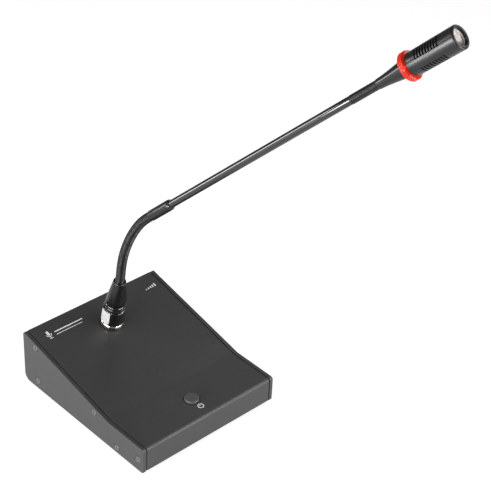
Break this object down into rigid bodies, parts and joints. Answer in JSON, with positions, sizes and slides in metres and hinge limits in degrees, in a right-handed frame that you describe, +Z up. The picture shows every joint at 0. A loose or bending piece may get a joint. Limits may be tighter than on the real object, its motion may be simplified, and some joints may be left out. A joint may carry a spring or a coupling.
{
  "type": "gooseneck podium microphone",
  "caption": "Desk microphone: a slotted head with a red light ring on a bendable gooseneck, plugged into a folded steel wedge base with a round talk button.",
  "frame": {"origin": "centre of the bottom plate's underside; the rubber feet reach 2.5 mm below it", "axes": "+Z up, -Y to the talker (the front with the button), +X to the right seen from the front"},
  "size_m": [0.1412, 0.2873, 0.372],
  "materials": {
    "powder_coat": "satin textured black",
    "black_screw": "black oxide",
    "foot_rubber": "matte",
    "board": "green solder resist",
    "zinc_steel": "zinc plated",
    "copper": "enamelled copper wire",
    "black_plastic": "moulded",
    "button_plastic": "satin",
    "socket_metal": "black satin die-cast",
    "nickel": "nickel plated",
    "gloss_shell": "gloss black",
    "boot_rubber": "satin",
    "hose_steel": "satin black wound steel",
    "neck_metal": "satin black",
    "red_light": "translucent, lit",
    "grille_mesh": "fine woven mesh"
  },
  "bodies": {
    "base": {"top_cover": "powder_coat", "left_cheek": "powder_coat", "right_cheek": "powder_coat", "bottom_plate": "powder_coat", "cheek_screw_left_1": "black_screw", "cheek_screw_left_2": "black_screw", "cheek_screw_left_3": "black_screw", "cheek_screw_left_4": "black_screw", "cheek_screw_left_5": "black_screw", "cheek_screw_right_1": "black_screw", "cheek_screw_right_2": "black_screw", "cheek_screw_right_3": "black_screw", "cheek_screw_right_4": "black_screw", "cheek_screw_right_5": "black_screw", "output_screw_1": "black_screw", "output_screw_2": "black_screw", "foot_1": "foot_rubber", "foot_2": "foot_rubber", "foot_3": "foot_rubber", "foot_4": "foot_rubber", "main_board": "board", "board_post_1": "zinc_steel", "board_post_2": "zinc_steel", "board_post_3": "zinc_steel", "board_post_4": "zinc_steel", "button_spring": "zinc_steel", "transformer": "copper", "capacitor_1": "black_plastic", "capacitor_2": "black_plastic", "switch_body": "black_plastic", "output_insert": "black_plastic", "socket_insert": "black_plastic", "output_shell": "socket_metal", "socket_shell": "socket_metal", "socket_nut": "nickel"},
    "button": {"talk_button": "button_plastic"},
    "plug": {"plug_barrel": "gloss_shell", "plug_ring": "nickel", "plug_insert": "black_plastic", "boot": "boot_rubber", "hose_root": "hose_steel"},
    "latch": {"plug_latch": "nickel"},
    "link_1": {"lower_link_1": "hose_steel"},
    "link_2": {"lower_link_2": "hose_steel"},
    "link_3": {"lower_link_3": "hose_steel"},
    "link_4": {"lower_link_4": "hose_steel"},
    "link_5": {"lower_link_5": "hose_steel"},
    "link_6": {"lower_link_6": "hose_steel"},
    "neck": {"neck_collar": "neck_metal", "neck_tube": "neck_metal"},
    "upper_1": {"upper_link_1": "hose_steel"},
    "upper_2": {"upper_link_2": "hose_steel"},
    "head": {"head_sleeve": "neck_metal", "light_board": "board", "light_ring": "red_light", "head_barrel": "neck_metal", "capsule": "zinc_steel", "capsule_holder": "foot_rubber", "front_grille": "grille_mesh"}
  },
  "joints": [
    {"name": "talk_press", "type": "slide", "parent": "base", "child": "button", "axis": [0, 0, -1], "range_m": [0, 0.0015], "stiffness_N_per_m": 600, "springref_m": -0.001, "deforming": ["button_spring"]},
    {"name": "plug_pull", "type": "slide", "parent": "base", "child": "plug", "axis": [0, -0.223, 0.9748], "range_m": [0, 0.035]},
    {"name": "latch_press", "type": "slide", "parent": "plug", "child": "latch", "axis": [1, 0, 0], "range_m": [0, 0.0008], "stiffness_N_per_m": 800, "springref_m": -0.0006},
    {"name": "pitch_lower_1", "type": "hinge", "parent": "plug", "child": "link_1", "pos_m": [0, 0.03326, 0.0883], "axis": [0.9285, 0.362, 0.0828], "range_deg": [-16, 10]},
    {"name": "side_lower_1", "type": "hinge", "parent": "link_1", "child": "link_2", "pos_m": [-0.00037, 0.03163, 0.09958], "axis": [-0.3714, 0.907, 0.1985], "range_deg": [-14, 14]},
    {"name": "pitch_lower_2", "type": "hinge", "parent": "link_2", "child": "link_3", "pos_m": [-0.00041, 0.02918, 0.11071], "axis": [0.9285, 0.362, 0.0828], "range_deg": [-16, 10]},
    {"name": "side_lower_2", "type": "hinge", "parent": "link_3", "child": "link_4", "pos_m": [-0.00004, 0.02575, 0.12158], "axis": [-0.3657, 0.8526, 0.3731], "range_deg": [-14, 14]},
    {"name": "pitch_lower_3", "type": "hinge", "parent": "link_4", "child": "link_5", "pos_m": [0.0007, 0.02145, 0.13211], "axis": [0.9285, 0.362, 0.0828], "range_deg": [-16, 10]},
    {"name": "side_lower_3", "type": "hinge", "parent": "link_5", "child": "link_6", "pos_m": [0.00183, 0.01625, 0.14219], "axis": [-0.3431, 0.7509, 0.5643], "range_deg": [-14, 14]},
    {"name": "pitch_lower_4", "type": "hinge", "parent": "link_6", "child": "neck", "pos_m": [0.00345, 0.00995, 0.15156], "axis": [0.9285, 0.362, 0.0828], "range_deg": [-16, 10]},
    {"name": "pitch_upper_1", "type": "hinge", "parent": "neck", "child": "upper_1", "pos_m": [0.04959, -0.14295, 0.30271], "axis": [0.9285, 0.362, 0.0828], "range_deg": [-14, 14]},
    {"name": "side_upper_1", "type": "hinge", "parent": "upper_1", "child": "upper_2", "pos_m": [0.05106, -0.14782, 0.30752], "axis": [-0.3064, 0.6209, 0.7216], "range_deg": [-14, 14]},
    {"name": "pitch_upper_2", "type": "hinge", "parent": "upper_2", "child": "head", "pos_m": [0.05252, -0.15268, 0.31234], "axis": [0.9285, 0.362, 0.0828], "range_deg": [-14, 14]}
  ],
  "couplings": [
    {"joint": "pitch_lower_2", "follows": "pitch_lower_1", "ratio": 1},
    {"joint": "pitch_lower_3", "follows": "pitch_lower_1", "ratio": 1},
    {"joint": "pitch_lower_4", "follows": "pitch_lower_1", "ratio": 1},
    {"joint": "side_lower_2", "follows": "side_lower_1", "ratio": 1},
    {"joint": "side_lower_3", "follows": "side_lower_1", "ratio": 1},
    {"joint": "pitch_upper_2", "follows": "pitch_upper_1", "ratio": 1}
  ]
}
